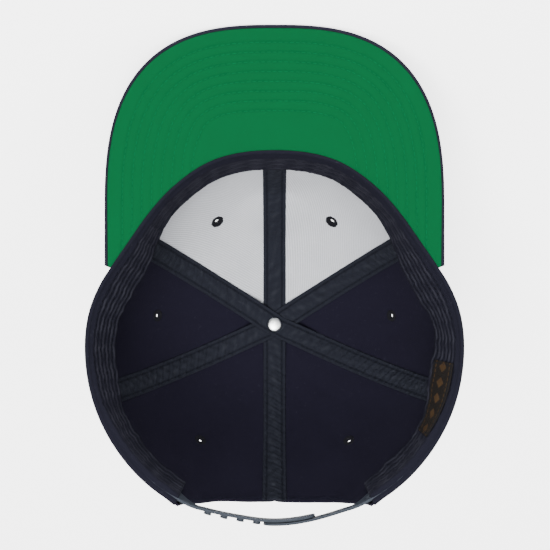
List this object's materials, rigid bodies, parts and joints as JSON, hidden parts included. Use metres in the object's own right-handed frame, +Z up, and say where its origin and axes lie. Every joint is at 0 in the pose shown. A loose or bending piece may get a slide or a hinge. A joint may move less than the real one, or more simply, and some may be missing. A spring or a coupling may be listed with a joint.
{
  "type": "snapback cap",
  "caption": "Snapback cap with a six-panel cloth crown, flat visor, sweatband and plastic snap strap, lying upside down on its crown and visor tip.",
  "frame": {"origin": "on the table under the middle of the cap's box, with the cap lying upside down on the front of its crown and its visor's tip", "axes": "+Z up, +Y towards the visor's tip, +X to the side that holds the label; the cap's opening faces up and towards +Y"},
  "size_m": [0.1972, 0.226, 0.1834],
  "materials": {
    "crown_cloth": "matte",
    "front_lining": "matte",
    "seam_tape": "matte",
    "sweatband_cloth": "matte",
    "label_weave": "matte",
    "visor_underside_cloth": "matte",
    "strap_plastic": "satin",
    "rivet_metal": "satin",
    "eyelet_thread": "matte"
  },
  "bodies": {
    "root": {"panel_front_left": "crown_cloth", "panel_front_right": "crown_cloth", "panel_side_left": "crown_cloth", "panel_side_right": "crown_cloth", "panel_back_left": "crown_cloth", "panel_back_right": "crown_cloth", "lining_front_left": "front_lining", "lining_front_right": "front_lining", "tape_centre": "seam_tape", "tape_lower_diagonal": "seam_tape", "tape_upper_diagonal": "seam_tape", "sweatband": "sweatband_cloth", "label": "label_weave", "visor_cover": "crown_cloth", "visor_underside": "visor_underside_cloth", "strap_with_pegs": "strap_plastic", "strap_with_holes": "strap_plastic", "button": "crown_cloth", "rivet": "rivet_metal", "eyelet_front_left": "eyelet_thread", "eyelet_front_right": "eyelet_thread", "eyelet_side_left": "eyelet_thread", "eyelet_side_right": "eyelet_thread", "eyelet_back_left": "eyelet_thread", "eyelet_back_right": "eyelet_thread"}
  },
  "joints": []
}
